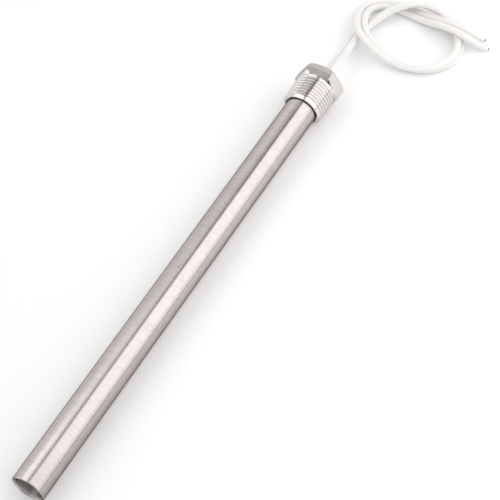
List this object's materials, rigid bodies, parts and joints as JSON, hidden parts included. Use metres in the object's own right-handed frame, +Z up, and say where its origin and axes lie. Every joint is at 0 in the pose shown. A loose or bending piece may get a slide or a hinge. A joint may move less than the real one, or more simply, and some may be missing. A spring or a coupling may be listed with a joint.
{
  "type": "cartridge heater",
  "caption": "Screw-in cartridge heater: long round steel sheath with a taper-threaded hexagon fitting and a pair of insulated leads tied in a loose knot.",
  "frame": {"origin": "on the surface that the heater lies on, under the middle of its metal body", "axes": "+X from the free end of the sheath towards the leads, +Z up; the heater's own axis rises about 0.7 degrees towards +X because the hexagon is wider than the sheath"},
  "size_m": [0.3338, 0.0732, 0.0219],
  "materials": {
    "sheath": "ground bright, fine rings around the tube",
    "fitting": "turned bright",
    "weld": "dull weld metal",
    "end_disc": "satin",
    "mica": "matte",
    "core": "matte",
    "powder": "matte",
    "wire": "dull oxide",
    "pin": "drawn",
    "crimp": "plated",
    "glass_sleeve": "glass braid",
    "seal": "matte",
    "lead": "white glass braid, lightly varnished",
    "strands": "dull plated strands"
  },
  "bodies": {
    "root": {"sheath_tube": "sheath", "end_disc": "end_disc", "end_weld": "weld", "end_washer": "mica", "core_1": "core", "core_2": "core", "core_3": "core", "core_4": "core", "core_5": "core", "core_6": "core", "heating_coil": "wire", "pin_long": "pin", "pin_short": "pin", "magnesia_fill": "powder", "ceramic_cap": "core", "crimp_1": "crimp", "crimp_2": "crimp", "crimp_sleeve_1": "glass_sleeve", "crimp_sleeve_2": "glass_sleeve", "potting_seal": "seal", "hex_fitting": "fitting", "fitting_weld": "weld", "lead_1": "lead", "lead_2": "lead", "lead_strands_1": "strands", "lead_strands_2": "strands"}
  },
  "joints": []
}
